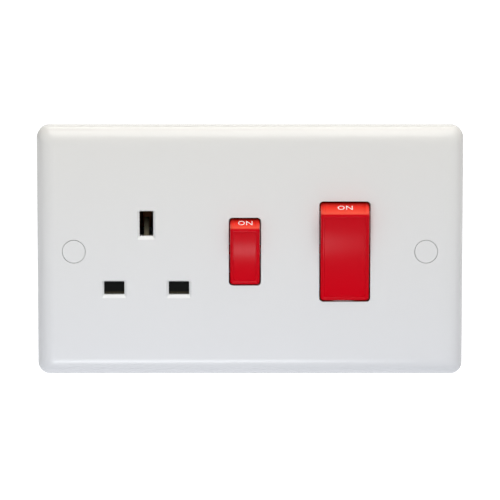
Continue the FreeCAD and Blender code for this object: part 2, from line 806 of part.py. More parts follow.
def neutral_link():
    """Bent bar from the supply neutral terminal to the neutral clip."""
    half = LINK_WIDTH / 2
    depth = (LINK_Y, LINK_BACK)
    block = about(NEUTRAL_BLOCK_X, BLOCK_WIDTH / 2 - LOCATOR_GAP)
    run = box((LINK_CROSS_X - half, block[1]), depth, (LINK_TOP - LINK_WIDTH, LINK_TOP))
    fall = box(about(LINK_CROSS_X, half), depth, (LINK_CROSS_Z - half, LINK_TOP))
    cross = box((NEUTRAL_PIN_X - half, LINK_CROSS_X), depth, about(LINK_CROSS_Z, half))
    drop = box(about(NEUTRAL_PIN_X, half), depth, (LINE_Z - half, LINK_CROSS_Z))
    tab = box(block, (LINK_Y, LINK_Y + TAB_REACH), (LINK_TOP - STRIP_BITE, TERMINAL_Z))
    return joined([run, fall, cross, drop, tab])


def earth_bores():
    """Places of the two earth bores across the unit."""
    return about(SOCKET_X, EARTH_BORE_SPREAD / 2)


def earth_terminal():
    """Terminal block with a bore for each earth wire."""
    return clamp_block(
        SOCKET_X,
        OUTLET_FLOOR_Y,
        1,
        EARTH_BLOCK_WIDTH,
        earth_bores(),
        EARTH_BORE_R,
    )


def earth_contact():
    """Earth clip, turned to grip from the sides, with a tail up to the earth terminal."""
    clip = pin_clip(EARTH_CLIP_WIDTH)
    clip.rotate(Vector(0, 0, 0), Vector(0, 1, 0), QUARTER_TURN)
    clip.translate(Vector(SOCKET_X, 0, EARTH_Z))
    tail = box(
        about(SOCKET_X, CLIP_SPREAD),
        (LINK_Y - CLIP_THICK, LINK_Y),
        (EARTH_Z, TERMINAL_Z),
    )
    return joined([tail, clip])


def shutter():
    """Sliding shutter: two blades on a stem, with the ramp that the earth pin pushes."""
    front = INNER_Y + SHUTTER_GAP
    depth = (front, front + SHUTTER_THICK)
    blades = box(about(SOCKET_X, BLADE_HALF), depth, (BLADE_BOTTOM, BLADE_TOP))
    stem = box(about(SOCKET_X, STEM_HALF), depth, (BLADE_TOP, RAMP_FOOT_Z))
    back = front + SHUTTER_TRAVEL
    ramp = outline(
        (
            (front, RAMP_FOOT_Z - RAMP_ROOT),
            (front, RAMP_FOOT_Z),
            (back, RAMP_FOOT_Z + SHUTTER_TRAVEL),
            (back, RAMP_FOOT_Z - RAMP_ROOT),
        ),
        RAMP_WIDTH,
    )
    ramp.translate(Vector(SOCKET_X, 0, 0))
    return joined([blades, stem, ramp])


def shutter_carrier():
    """Deck behind the shutter with pin holes, stem rails and a spring seat."""
    back = CARRIER_Y + CARRIER_THICK
    front = INNER_Y + SHUTTER_GAP
    half = BLADE_HALF + CARRIER_SIDE
    solids = [box(about(SOCKET_X, half), (CARRIER_Y, back), (CARRIER_BOTTOM, CARRIER_TOP))]
    for side in (-1, 1):
        inner = SOCKET_X + side * (STEM_HALF + RAIL_GAP)
        ends = sorted((inner, inner + side * RAIL_THICK))
        solids.append(box(ends, (front, back), (BLADE_TOP + RAIL_GAP, RAMP_FOOT_Z - RAMP_ROOT)))
    seat = (CARRIER_BOTTOM, CARRIER_BOTTOM + SPRING_SEAT)
    solids.append(box(about(SOCKET_X, SPRING_SEAT_HALF), (front, back), seat))
    through = (CARRIER_Y - CUT_MARGIN, back + CUT_MARGIN)
    holes = []
    for x in (NEUTRAL_PIN_X, LIVE_PIN_X):
        half_wide = LINE_APERTURE_WIDTH / 2 + CARRIER_PIN_GAP
        half_high = LINE_APERTURE_HEIGHT / 2 + CARRIER_PIN_GAP
        holes.append(box(about(x, half_wide), through, about(LINE_Z, half_high)))
    half_wide = EARTH_APERTURE_WIDTH / 2 + CARRIER_PIN_GAP
    half_high = EARTH_APERTURE_HEIGHT / 2 + CARRIER_PIN_GAP
    holes.append(box(about(SOCKET_X, half_wide), through, about(EARTH_Z, half_high)))
    slot_end = RAMP_FOOT_Z - RAMP_ROOT - SHUTTER_TRAVEL - RAMP_SLOT_GAP
    holes.append(box(about(SOCKET_X, RAMP_WIDTH / 2 + RAMP_SLOT_GAP), through, (slot_end, EARTH_Z)))
    return joined(solids).cut(holes)


def shutter_spring():
    """Spring that lifts the shutter back over the pin holes."""
    seat_z = CARRIER_BOTTOM + SPRING_SEAT
    length = BLADE_BOTTOM - seat_z
    spring = coil(SHUTTER_SPRING_R, SHUTTER_SPRING_WIRE, length, SHUTTER_SPRING_TURNS)
    spring.translate(Vector(SOCKET_X, INNER_Y + SHUTTER_GAP + SHUTTER_THICK / 2, seat_z))
    return spring


def blocks():
    """Every terminal block: centre, floor depth, side, width, bore centres and bore radius."""
    places = []
    for side in (1, -1):
        for x in (LIVE_BLOCK_X, NEUTRAL_BLOCK_X):
            places.append((x, FLOOR_Y, side, BLOCK_WIDTH, (x,), BORE_R))
    places.append((SOCKET_X, OUTLET_FLOOR_Y, 1, EARTH_BLOCK_WIDTH, earth_bores(), EARTH_BORE_R))
    return places


def clamp_screws(width):
    """The clamp screws of all blocks of one width."""
    screws = []
    for _, floor_y, side, block_width, bore_xs, bore_r in blocks():
        if block_width == width:
            screws += [clamp_screw(x, floor_y, side, bore_r) for x in bore_xs]
    return Part.makeCompound(screws)


def tub(x, z, back, corner):
    """Bevelled block from the plate's inner face to a depth."""
    width = x[1] - x[0]
    height = z[1] - z[0]
    middle = (x[0] + x[1]) / 2
    wall = rounded(width, height, corner, INNER_Y, middle)
    brow = rounded(width, height, corner, back - HOUSING_BEVEL, middle)
    floor = rounded(width - 2 * HOUSING_BEVEL, height - 2 * HOUSING_BEVEL, corner, back, middle)
    return joined([prism(wall, back - HOUSING_BEVEL - INNER_Y), funnel(brow, floor)])


def housing_shell():
    """Stepped tub, deeper behind the switches than behind the socket."""
    left, right = about(0, HOUSING_WIDTH / 2)
    z = about(0, HOUSING_HEIGHT / 2)
    shallow = tub((left, right), z, OUTLET_FLOOR_Y + HOUSING_FLOOR, HOUSING_CORNER)
    deep = tub((STEP_X, right), z, FLOOR_Y + HOUSING_FLOOR, HOUSING_CORNER)
    inner_z = about(0, HOUSING_END)
    inner = (left + HOUSING_WALL, right - HOUSING_WALL)
    corner = HOUSING_CORNER - HOUSING_WALL
    hollow = prism(
        rounded(inner[1] - inner[0], inner_z[1] - inner_z[0], corner, INNER_Y - CUT_MARGIN),
        OUTLET_FLOOR_Y - INNER_Y + CUT_MARGIN,
    )
    pit = box((STEP_X + HOUSING_WALL, inner[1]), (INNER_Y, FLOOR_Y), inner_z)
    return joined([shallow, deep]).cut([hollow, pit])


def housing_ears():
    """Lugs at the top and bottom that take the housing screws."""
    ears = []
    depth = (EAR_Y, EAR_Y + EAR_THICK)
    for x in EAR_XS:
        for side in (-1, 1):
            root = side * (HOUSING_HEIGHT / 2 - HOUSING_WALL / 2)
            neck = box(about(x, EAR_R), depth, sorted((root, side * EAR_Z)))
            ears += [neck, rod_y(EAR_R, x, side * EAR_Z, depth)]
    return ears


def post(x, z, half, y):
    """Square post along y between two depths."""
    return box(about(x, half), y, about(z, half))


def housing_posts():
    """Keepers behind the bearings, the pole barrier and the posts under strips, clips and carrier."""
    posts = []
    for switch in (COOKER, OUTLET):
        for side in (-1, 1):
            ends = sorted((switch.x + side * switch.cheek_in, switch.x + side * switch.cheek_out))
            posts.append(box(ends, (switch.cheek_rear, FLOOR_Y), about(0, KEEPER_HALF)))
        for pole in switch.poles:
            for z in (0, switch.arm - POST_HALF / 2):
                posts.append(post(switch.x + pole, z, POST_HALF, (STRIP_BACK, FLOOR_Y)))
    barrier_z = about(0, BARRIER_HALF)
    posts.append(box(about(COOKER_X, BARRIER_THICK / 2), (BARRIER_FRONT, FLOOR_Y), barrier_z))
    posts.append(post(COOKER_X, LINK_TOP - LINK_WIDTH / 2, POST_HALF, (LINK_BACK, FLOOR_Y)))
    posts.append(post(NEUTRAL_PIN_X, LINE_Z, POST_HALF, (LINK_BACK, OUTLET_FLOOR_Y)))
    for x, z in ((LIVE_PIN_X, LINE_Z), (SOCKET_X, EARTH_Z)):
        posts.append(post(x, z, POST_HALF, (LINK_Y, OUTLET_FLOOR_Y)))
    deck = CARRIER_Y + CARRIER_THICK
    for spread, z in ((CARRIER_POST_SPREAD, CARRIER_POST_Z), (CARRIER_FOOT_SPREAD, CARRIER_FOOT_Z)):
        for x in about(SOCKET_X, spread / 2):
            posts.append(post(x, z, CARRIER_POST_HALF, (deck, OUTLET_FLOOR_Y)))
    return posts


def block_locators():
    """Low ribs on the floor to both sides of each terminal block."""
    ribs = []
    for x, floor_y, side, width, _, _ in blocks():
        z = sorted((side * TERMINAL_Z, side * (TERMINAL_Z + BLOCK_LENGTH)))
        for hand in (-1, 1):
            inner = x + hand * (width / 2 + LOCATOR_GAP)
            ends = sorted((inner, inner + hand * LOCATOR_THICK))
            ribs.append(box(ends, (floor_y - LOCATOR_RISE, floor_y + STRIP_BITE), z))
    return ribs


def wire_stops():
    """Walls at the inner ends of the lower blocks, which take the push of a cable."""
    walls = []
    for x, floor_y, side, width, _, _ in blocks():
        if side < 0:
            near = side * (TERMINAL_Z - LOCATOR_GAP)
            z = sorted((near, near - side * LOCATOR_THICK))
            walls.append(box(about(x, width / 2), (STRIP_BACK + LOCATOR_GAP, floor_y + STRIP_BITE), z))
    return walls


def cable_notches():
    """Notches in the end walls, open to the back, one at each end where cables come in."""
    ends = {}
    for _, floor_y, side, _, bore_xs, bore_r in blocks():
        ends.setdefault((floor_y, side, bore_r + ENTRY_MARGIN), []).extend(bore_xs)
    notches = []
    for (floor_y, side, reach), xs in ends.items():
        across = (min(xs) - reach, max(xs) + reach)
        depth = (floor_y - BLOCK_DEPTH / 2 - reach, floor_y + HOUSING_FLOOR + CUT_MARGIN)
        height = sorted((side * HOUSING_END, side * (HOUSING_HEIGHT / 2 + CUT_MARGIN)))
        notches.append(box(across, depth, height))
    return notches


def rear_housing():
    """The tub behind the plate with all that stands in it."""
    solids = [housing_shell()] + housing_ears() + housing_posts() + block_locators() + wire_stops()
    holes = cable_notches()
    for _, floor_y, side, _, bore_xs, _ in blocks():
        root = floor_y + HOUSING_FLOOR - STRIP_BITE
        back = floor_y + HOUSING_FLOOR + TOWER_RISE
        hole_r = CLAMP_R + TOWER_GAP
        for x in bore_xs:
            solids.append(rod_y(hole_r + TOWER_WALL, x, clamp_z(side), (root, back)))
            holes.append(rod_y(hole_r, x, clamp_z(side), (floor_y, back)))
    for x in EAR_XS:
        for z in (-EAR_Z, EAR_Z):
            holes.append(rod_y(TAP_R + TAP_CLEARANCE, x, z, (EAR_Y, EAR_Y + EAR_THICK)))
    return joined(solids).cut(holes).removeSplitter()


def build():
    """Every node of the unit by name."""
    nodes = {
        "front_plate": front_plate(),
        "rear_housing": rear_housing(),
        "cooker_rocker": rocker(COOKER),
        "socket_rocker": rocker(OUTLET),
        "shutter": shutter(),
        "shutter_carrier": shutter_carrier(),
        "shutter_spring": shutter_spring(),
        "supply_live_terminal": supply_terminal(LIVE_BLOCK_X, LIVE_POLE),
        "supply_neutral_terminal": supply_terminal(NEUTRAL_BLOCK_X, NEUTRAL_POLE),
        "load_live_terminal": load_terminal(LIVE_BLOCK_X, LIVE_POLE),
        "load_neutral_terminal": load_terminal(NEUTRAL_BLOCK_X, NEUTRAL_POLE),
        "live_link": live_link(),
        "live_pin_contact": live_contact(),
        "neutral_pin_contact": line_clip(NEUTRAL_PIN_X),
        "neutral_link": neutral_link(),
        "earth_pin_contact": earth_contact(),
        "earth_terminal": earth_terminal(),
    }
    for name, x in zip(("screw_cap_left", "screw_cap_right"), FIXING_XS):
        nodes[name] = screw_cap(x)
    poles = (
        ("cooker_live", COOKER, COOKER.poles[0]),
        ("cooker_neutral", COOKER, COOKER.poles[1]),
        ("socket", OUTLET, OUTLET.poles[0]),
    )
    for name, switch, pole in poles:
        nodes[name + "_plunger"] = plunger(switch, pole)
        nodes[name + "_spring"] = plunger_spring(switch, pole)
        nodes[name + "_moving_contact"] = moving_contact(switch, switch.x + pole)
        nodes[name + "_moving_tip"] = moving_tip(switch, switch.x + pole)
        nodes[name + "_fixed_tip"] = fixed_tip(switch, switch.x + pole)
    nodes["fixing_screws"] = Part.makeCompound([fixing_screw(x) for x in FIXING_XS])
    ears = [(x, z) for x in EAR_XS for z in (-EAR_Z, EAR_Z)]
    nodes["housing_screws"] = Part.makeCompound([housing_screw(x, z) for x, z in ears])
    nodes["terminal_screws"] = clamp_screws(BLOCK_WIDTH)
    nodes["earth_screws"] = clamp_screws(EARTH_BLOCK_WIDTH)
    return nodes


for node, shape in build().items():
    shape.exportStep("parts/" + node + ".step")
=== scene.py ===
"""Dresses the cooker control unit and sets it in a plain studio, in metres and in the frame of its solids."""

import logging
import math
from dataclasses import dataclass, field
from enum import Enum

import bmesh
import bpy
from mathutils import Matrix, Vector
from mathutils.bvhtree import BVHTree


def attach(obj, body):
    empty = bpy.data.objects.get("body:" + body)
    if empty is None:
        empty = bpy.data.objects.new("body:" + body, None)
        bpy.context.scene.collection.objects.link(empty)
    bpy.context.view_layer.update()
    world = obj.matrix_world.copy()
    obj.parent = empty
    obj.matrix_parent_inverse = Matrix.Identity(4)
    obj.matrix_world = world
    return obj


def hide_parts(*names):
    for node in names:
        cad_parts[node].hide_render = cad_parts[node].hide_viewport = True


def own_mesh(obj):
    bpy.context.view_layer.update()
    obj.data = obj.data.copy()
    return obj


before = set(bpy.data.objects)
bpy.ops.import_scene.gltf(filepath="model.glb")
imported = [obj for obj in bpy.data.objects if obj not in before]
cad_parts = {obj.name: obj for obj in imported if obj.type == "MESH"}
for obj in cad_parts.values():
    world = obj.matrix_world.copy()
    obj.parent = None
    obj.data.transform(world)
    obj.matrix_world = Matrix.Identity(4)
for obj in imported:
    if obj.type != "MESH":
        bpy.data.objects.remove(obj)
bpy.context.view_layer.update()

MM = 0.001
WELD_REACH, SEAM_REACH = 0.001 * MM, 0.002 * MM  # points this close are one
NOISE_LOW, NOISE_HIGH = 0.3, 0.7  # most of a noise lies between these
LOG = logging.getLogger("cooker_control_unit")

Colour = tuple[float, float, float]
Profile = list[tuple[float, float]]


class Body(Enum):
    """Bodies that a piece can ride on."""

    UNIT = "unit"
    COOKER_ROCKER = "cooker_rocker"
    SOCKET_ROCKER = "socket_rocker"


class Slot(Enum):
    """Material slots of the record."""

    WHITE = "white_moulding"
    RED = "red_moulding"
    HOUSING = "housing_moulding"
    SHUTTER = "shutter_moulding"
    CARRIER = "carrier_moulding"
    PLUNGER = "plunger_moulding"
    BRASS = "brass"
    COPPER = "copper"
    SILVER = "silver"
    ZINC = "zinc_steel"
    SPRING = "spring_steel"


class Facing(Enum):
    """Side that a screw's head shows to: the sign of y along its shank."""

    FRONT = 1.0
    BACK = -1.0


class Drive(Enum):
    """Recess in a screw's head, by the number of crossing slots."""

    SLOT = 1
    CROSS = 2


def set_range(node: bpy.types.ShaderNode, ends: tuple[float, float], values: tuple[float, float]) -> None:
    """Sets what a Map Range node takes and gives.

    Args:
        node: the node.
        ends: numbers that go in at its two ends.
        values: numbers that come out there.
    """
    for name, number in zip(("From Min", "From Max", "To Min", "To Max"), (*ends, *values)):
        node.inputs[name].default_value = number


class Shader:
    """A node material under way, with one surface shader and the texture nodes that feed it."""

    EDGE_SAMPLES: int = 6

    def __init__(self, name: str) -> None:
        """Starts a material.

        Args:
            name: the material's name.
        """
        self.material = bpy.data.materials.new(name)
        self.material.use_nodes = True
        self.nodes = self.material.node_tree.nodes
        self.links = self.material.node_tree.links
        self.surface = self.nodes["Principled BSDF"]
        self.place = self.nodes.new("ShaderNodeTexCoord").outputs["Object"]

    def stretched(self, scale: tuple[float, float, float]) -> bpy.types.NodeSocket:
        """Gives the texture place drawn out along an axis.

        Args:
            scale: factor on each axis.

        Returns:
            The socket with the scaled place.
        """
        mapping = self.nodes.new("ShaderNodeMapping")
        mapping.inputs["Scale"].default_value = scale
        self.links.new(self.place, mapping.inputs["Vector"])
        return mapping.outputs["Vector"]

    def noise(self, scale: float, detail: float, place: bpy.types.NodeSocket | None = None) -> bpy.types.NodeSocket:
        """Adds a noise texture.

        Args:
            scale: cells in a metre.
            detail: octaves of finer noise.
            place: where to read it, or the plain place.

        Returns:
            The socket with the noise, from 0 to 1.
        """
        node = self.nodes.new("ShaderNodeTexNoise")
        node.inputs["Scale"].default_value = scale
        node.inputs["Detail"].default_value = detail
        self.links.new(place or self.place, node.inputs["Vector"])
        return node.outputs["Fac"]

    def ramp(self, value: bpy.types.NodeSocket, stops: list[tuple[float, Colour]]) -> bpy.types.NodeSocket:
        """Turns a value into a colour.

        Args:
            value: the socket that drives it.
            stops: positions with their colours.

        Returns:
            The colour socket.
        """
        node = self.nodes.new("ShaderNodeValToRGB")
        elements = node.color_ramp.elements
        while len(elements) < len(stops):
            elements.new(0.5)
        for element, (position, colour) in zip(elements, stops):
            element.position = position
            element.color = (*colour, 1.0)
        self.links.new(value, node.inputs["Fac"])
        return node.outputs["Color"]

    def range(self, value: bpy.types.NodeSocket, low: float, high: float) -> bpy.types.NodeSocket:
        """Maps the middle of a noise to a range of numbers.

        Args:
            value: the noise socket.
            low: number at its low side.
            high: number at its high side.

        Returns:
            The mapped socket.
        """
        node = self.nodes.new("ShaderNodeMapRange")
        set_range(node, (NOISE_LOW, NOISE_HIGH), (low, high))
        self.links.new(value, node.inputs["Value"])
        return node.outputs["Result"]

    def along(self, axis: str, ends: tuple[float, float], values: tuple[float, float]) -> bpy.types.NodeSocket:
        """Runs a number evenly along an axis of the object.

        Args:
            axis: X, Y or Z.
            ends: places of the two ends in metres.
            values: numbers at the two ends.

        Returns:
            The socket with the number.
        """
        split = self.nodes.new("ShaderNodeSeparateXYZ")
        self.links.new(self.place, split.inputs["Vector"])
        node = self.nodes.new("ShaderNodeMapRange")
        set_range(node, ends, values)
        self.links.new(split.outputs[axis], node.inputs["Value"])
        return node.outputs["Result"]

    def mottled(self, noise: bpy.types.NodeSocket, low: Colour, high: Colour) -> bpy.types.NodeSocket:
        """Runs between two colours with a noise.

        Args:
            noise: the noise socket.
            low: colour at its low side.
            high: colour at its high side.

        Returns:
            The colour socket.
        """
        return self.ramp(noise, [(NOISE_LOW, low), (NOISE_HIGH, high)])

    def bump(self, height: bpy.types.NodeSocket, strength: float, depth: float, edge: float = 0.0) -> None:
        """Roughens the surface's normal and rounds it at edges.

        Args:
            height: the socket with the height.
            strength: share of the effect.
            depth: depth of the relief in metres.
            edge: radius in metres that edges are rounded to.
        """
        node = self.nodes.new("ShaderNodeBump")
        if edge > 0:
            rounding = self.nodes.new("ShaderNodeBevel")
            rounding.samples = self.EDGE_SAMPLES
            rounding.inputs["Radius"].default_value = edge
            self.links.new(rounding.outputs["Normal"], node.inputs["Normal"])
        node.inputs["Strength"].default_value = strength
        node.inputs["Distance"].default_value = depth
        self.links.new(height, node.inputs["Height"])
        self.links.new(node.outputs["Normal"], self.surface.inputs["Normal"])

    def feed(self, socket: str, value: bpy.types.NodeSocket) -> None:
        """Links a texture to a socket of the surface shader."""
        self.links.new(value, self.surface.inputs[socket])

    def hold(self, socket: str, value: float) -> None:
        """Sets a number on the surface shader itself."""
        self.surface.inputs[socket].default_value = value


def darker(colour: Colour, share: float) -> Colour:
    """Gives a colour darkened to a share of itself.

    Args:
        colour: the colour.
        share: what is left of it.

    Returns:
        The darker colour.
    """
    red, green, blue = colour
    return (red * share, green * share, blue * share)


@dataclass(frozen=True, kw_only=True)
class Finish:
    """What every finish has: its slot, and its least and greatest roughness."""

    slot: Slot
    rough: tuple[float, float]

    def label(self) -> str:
        """Name of the material."""
        return self.slot.value + "_finish"

    def make(self) -> bpy.types.Material:
        """Builds the material."""
        raise NotImplementedError


@dataclass(frozen=True, kw_only=True)
class Plastic(Finish):
    """Plastic with a fine skin: grain in cells to a metre, relief and rounded edge in metres."""

    grain: float
    relief: float
    strength: float
    specular: float
    edge: float = 0.0
    detail: float = 1.5

    def tone(self, shader: Shader) -> bpy.types.NodeSocket:
        """Gives the colour's socket."""
        raise NotImplementedError

    def make(self) -> bpy.types.Material:
        """Builds the material.

        Returns:
            The plastic.
        """
        shader = Shader(self.label())
        skin = shader.noise(self.grain, self.detail)
        shader.feed("Base Color", self.tone(shader))
        shader.feed("Roughness", shader.range(skin, *self.rough))
        shader.bump(skin, self.strength, self.relief, self.edge)
        shader.hold("Specular IOR Level", self.specular)
        return shader.material


@dataclass(frozen=True, kw_only=True)
class Moulding(Plastic):
    """Moulded plastic of one colour, softly mottled in cells to a metre."""

    colour: Colour
    shade: float
    mottle: float
    flow: float = 3.0

    def tone(self, shader: Shader) -> bpy.types.NodeSocket:
        """Gives the colour with its soft mottling.

        Args:
            shader: the material under way.

        Returns:
            The colour socket.
        """
        flow = shader.noise(self.mottle, self.flow)
        return shader.mottled(flow, darker(self.colour, self.shade), self.colour)


@dataclass(frozen=True, kw_only=True)
class Graded(Plastic):
    """Moulded plastic whose colour changes with height, used here to paint light and shade: levels in metres, each
    with its colour.
    """

    levels: tuple[tuple[float, Colour], ...]
    name: str = ""

    def label(self) -> str:
        """Name of the material."""
        return (self.name or self.slot.value) + "_finish"

    def tone(self, shader: Shader) -> bpy.types.NodeSocket:
        """Gives the colour from the lowest level to the highest.

        Args:
            shader: the material under way.

        Returns:
            The colour socket.
        """
        low, high = self.levels[0][0], self.levels[-1][0]
        height = shader.along("Z", (low, high), (0.0, 1.0))
        return shader.ramp(height, [((level - low) / (high - low), colour) for level, colour in self.levels])


@dataclass(frozen=True, kw_only=True)
class Metal(Finish):
    """Worked metal: lines of the rolling or drawing, tarnish in patches and a fine tooth."""

    colour: Colour
    shade: float
    tarnish: Colour
    draw: tuple[float, float, float] = (1.0, 1.0, 1.0)
    grain: float = 2600.0
    grain_detail: float = 3.0
    patch: float = 260.0
    patch_detail: float = 4.0
    patch_levels: tuple[float, float, float] = (0.25, 0.5, 0.8)
    relief: float = 0.00003
    strength: float = 0.35

    def make(self) -> bpy.types.Material:
        """Builds the material.

        Returns:
            The metal.
        """
        shader = Shader(self.label())
        lines = shader.noise(self.grain, self.grain_detail, shader.stretched(self.draw))
        patches = shader.noise(self.patch, self.patch_detail)
        tones = (self.tarnish, darker(self.colour, self.shade), self.colour)
        shader.feed("Base Color", shader.ramp(patches, list(zip(self.patch_levels, tones))))
        shader.feed("Roughness", shader.range(lines, *self.rough))
        shader.bump(lines, self.strength, self.relief)
        shader.hold("Metallic", 1.0)
        return shader.material


@dataclass(frozen=True, kw_only=True)
class Ink(Finish):
    """Filled lettering, a little uneven."""

    colour: Colour
    shade: float
    name: str
    grain: float = 2400.0
    detail: float = 2.0
    relief: float = 0.00001
    strength: float = 0.2

    def make(self) -> bpy.types.Material:
        """Builds the material.

        Returns:
            The ink.
        """
        shader = Shader(self.name)
        grain = shader.noise(self.grain, self.detail)
        shader.feed("Base Color", shader.mottled(grain, darker(self.colour, self.shade), self.colour))
        shader.feed("Roughness", shader.range(grain, *self.rough))
        shader.bump(grain, self.strength, self.relief)
        return shader.material


# Painted light on the white plate: cooler at its foot and warmer at its top, as the low and overhead lamps light it.
PLATE_PAINTED_COOL_FOOT, PLATE_PAINTED_WARM_TOP = (0.735, 0.742, 0.765), (0.78, 0.77, 0.74)
# Painted light and shade on the rockers: a painted highlight along the ridge, painted top light on the upward flag
# and painted shade in the gap at the flag's top.
RED_FACE, RED_PAINTED_RIDGE_HIGHLIGHT = (0.59, 0.0005, 0.008), (0.9, 0.09, 0.05)
RED_PAINTED_FLAG_LIGHT, RED_PAINTED_GAP_SHADE = (0.83, 0.02, 0.01), (0.15, 0.0005, 0.0005)
# Painted light on the shutter's ramp and foot; its dark colour is deepened by painted shade on the blades inside the
# apertures.
SHUTTER_PAINTED_LIGHT, SHUTTER_DARK_AND_PAINTED_SHADE = (0.17, 0.15, 0.1), (0.006, 0.006, 0.006)


def rocker_red(name: str, heights: tuple[float, float, float, float]) -> Graded:
    """Gives the red of a rocker, with a painted highlight along its ridge, painted top light on its flag and painted
    shade in the gap above the flag.

    Args:
        name: the finish's name.
        heights: top of the face, the ridge's painted highlight, the flag's painted light and the gap's painted shade,
            in metres.

    Returns:
        The finish.
    """
    return Graded(
        slot=Slot.RED, rough=(0.17, 0.2), grain=1500.0, relief=0.00002, strength=0.02, specular=0.066, edge=0.00022,
        levels=tuple(zip(heights, (RED_FACE, RED_PAINTED_RIDGE_HIGHLIGHT, RED_PAINTED_FLAG_LIGHT, RED_PAINTED_GAP_SHADE))), name=name,
    )


# The plate's colour runs from painted cool light at its foot to painted warm light at its top.
WHITE = Graded(
    slot=Slot.WHITE, rough=(0.263, 0.267), grain=260.0, relief=0.00002, strength=0.012, specular=0.45,
    levels=((-0.043, PLATE_PAINTED_COOL_FOOT), (0.043, PLATE_PAINTED_WARM_TOP)),
)
# Each rocker's red carries its painted highlight, painted light and painted shade by height.
COOKER_RED = rocker_red("cooker_red", (0.0132, 0.0138, 0.0156, 0.017))
SOCKET_RED = rocker_red("socket_red", (0.0081, 0.0087, 0.0099, 0.0115))
HOUSING = Moulding(
    slot=Slot.HOUSING, colour=(0.7, 0.7, 0.68), shade=0.94, rough=(0.45, 0.6),
    mottle=50.0, grain=1800.0, relief=0.00006, strength=0.35, specular=0.4,
)
# The shutter is dark, with painted shade on its blades and painted light on its ramp and foot.
SHUTTER = Graded(
    slot=Slot.SHUTTER, rough=(0.45, 0.6), grain=2200.0, relief=0.00005, strength=0.3, specular=0.08,
    levels=(
        (-0.0156, SHUTTER_PAINTED_LIGHT), (-0.0138, SHUTTER_DARK_AND_PAINTED_SHADE), (-0.004, SHUTTER_DARK_AND_PAINTED_SHADE),
        (0.005, SHUTTER_PAINTED_LIGHT), (0.009, SHUTTER_PAINTED_LIGHT), (0.0118, SHUTTER_DARK_AND_PAINTED_SHADE),
    ),
)
CARRIER = Moulding(
    slot=Slot.CARRIER, colour=(0.56, 0.55, 0.52), shade=0.93, rough=(0.5, 0.6),
    mottle=80.0, grain=2000.0, relief=0.00005, strength=0.3, specular=0.4,
)
PLUNGER = Moulding(
    slot=Slot.PLUNGER, colour=(0.76, 0.73, 0.64), shade=0.94, rough=(0.4, 0.5),
    mottle=120.0, grain=2400.0, relief=0.00003, strength=0.2, specular=0.4,
)
BRASS = Metal(
    slot=Slot.BRASS, colour=(0.78, 0.56, 0.24), shade=0.9, rough=(0.24, 0.42), tarnish=(0.5, 0.32, 0.12),
    draw=(1.0, 0.08, 1.0),
)
COPPER = Metal(
    slot=Slot.COPPER, colour=(0.45, 0.2, 0.11), shade=0.9, rough=(0.26, 0.44), tarnish=(0.2, 0.08, 0.045),
    draw=(1.0, 1.0, 0.06),
)
SILVER = Metal(slot=Slot.SILVER, colour=(0.86, 0.85, 0.82), shade=0.94, rough=(0.2, 0.34), tarnish=(0.6, 0.57, 0.5))
ZINC = Metal(
    slot=Slot.ZINC, colour=(0.66, 0.68, 0.7), shade=0.92, rough=(0.2, 0.36), tarnish=(0.48, 0.48, 0.46),
    draw=(1.0, 0.3, 1.0),
)
SPRING = Metal(slot=Slot.SPRING, colour=(0.5, 0.51, 0.53), shade=0.9, rough=(0.22, 0.34), tarnish=(0.34, 0.34, 0.34))
WHITE_INK = Ink(slot=Slot.RED, colour=(0.9, 0.88, 0.86), shade=0.94, rough=(0.45, 0.55), name="white_ink")


class Paintshop:
    """Makes each finish once and puts it on nodes and pieces."""

    def __init__(self) -> None:
        """Starts with no material made."""
        self.made: dict[Finish, bpy.types.Material] = {}

    def material(self, finish: Finish) -> bpy.types.Material:
        """Gives a finish's material.

        Args:
            finish: the finish.

        Returns:
            Its material, made at the first call.
        """
        if finish not in self.made:
            self.made[finish] = finish.make()
        return self.made[finish]

    def dress(self, node: str, finish: Finish) -> bpy.types.Object:
        """Puts a finish on a solid.

        Args:
            node: the solid's name.
            finish: its finish.

        Returns:
            The solid's object.
        """
        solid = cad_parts[node]
        if not solid.material_slots:
            solid.data.materials.append(None)
        for holder in solid.material_slots:
            holder.link = "OBJECT"
            holder.material = self.material(finish)
        LOG.info("%s: %s", node, finish.slot.value)
        return solid

    def piece(self, name: str, shape: bmesh.types.BMesh, finish: Finish, body: Body) -> bpy.types.Object:
        """Makes an object of a mesh and sets it on its body.

        Args:
            name: the piece's name.
            shape: its mesh in the row frame.
            finish: its finish.
            body: the body it rides on.

        Returns:
            The new object.
        """
        mesh = bpy.data.meshes.new(name)
        bmesh.ops.recalc_face_normals(shape, faces=shape.faces[:])
        shape.to_mesh(mesh)
        shape.free()
        made = bpy.data.objects.new(name, mesh)
        bpy.context.scene.collection.objects.link(made)
        mesh.materials.append(self.material(finish))
        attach(made, body.value)
        LOG.info("%s rides on %s", name, body.value)
        return made


SHOP = Paintshop()


def soften(solid: bpy.types.Object, width: float, angle: float = 35.0) -> None:
    """Breaks a solid's sharp edges as a mould or a tumbler does.

    Args:
        solid: the object.
        width: width of the broken edge in millimetres.
        angle: edges sharper than this many degrees are broken.
    """
    weld = solid.modifiers.new("weld", "WELD")
    weld.merge_threshold = WELD_REACH
    bevel = solid.modifiers.new("broken_edges", "BEVEL")
    bevel.limit_method = "ANGLE"
    bevel.angle_limit = math.radians(angle)
    bevel.width = width * MM
    bevel.segments = 2
    bevel.harden_normals = True


